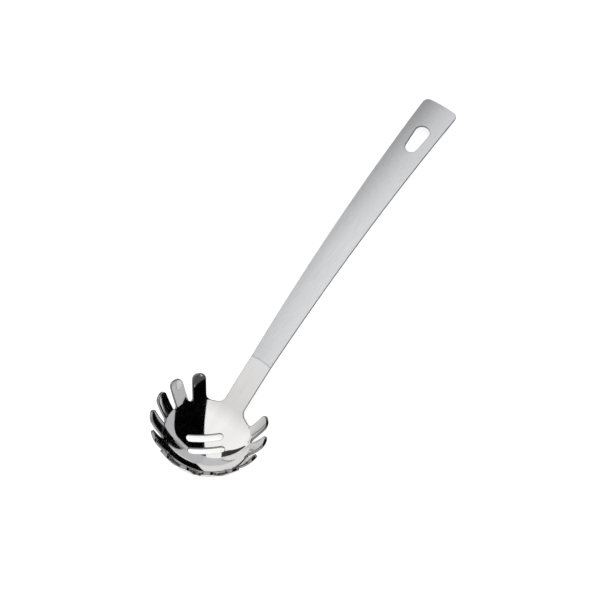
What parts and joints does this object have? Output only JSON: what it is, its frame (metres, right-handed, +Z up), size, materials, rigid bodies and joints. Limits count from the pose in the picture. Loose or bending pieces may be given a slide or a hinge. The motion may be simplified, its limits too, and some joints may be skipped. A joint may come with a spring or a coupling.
{
  "type": "pasta server",
  "caption": "Stainless steel pasta server: a slotted bowl ringed with blunt tines on a long dished handle with a hanging slot.",
  "frame": {"origin": "on the table, under the middle of the server's overall box", "axes": "+X from the bowl towards the end of the handle, +Y to the server's left, +Z up; the server lies on the back of its bowl and the handle's end"},
  "size_m": [0.3318, 0.0846, 0.0529],
  "materials": {
    "polished_steel": "mirror polished stainless steel",
    "weld_steel": "weld bead ground flush",
    "satin_steel": "satin, brushed along the handle"
  },
  "bodies": {
    "root": {"head": "polished_steel", "weld_seam": "weld_steel", "handle": "satin_steel"}
  },
  "joints": []
}
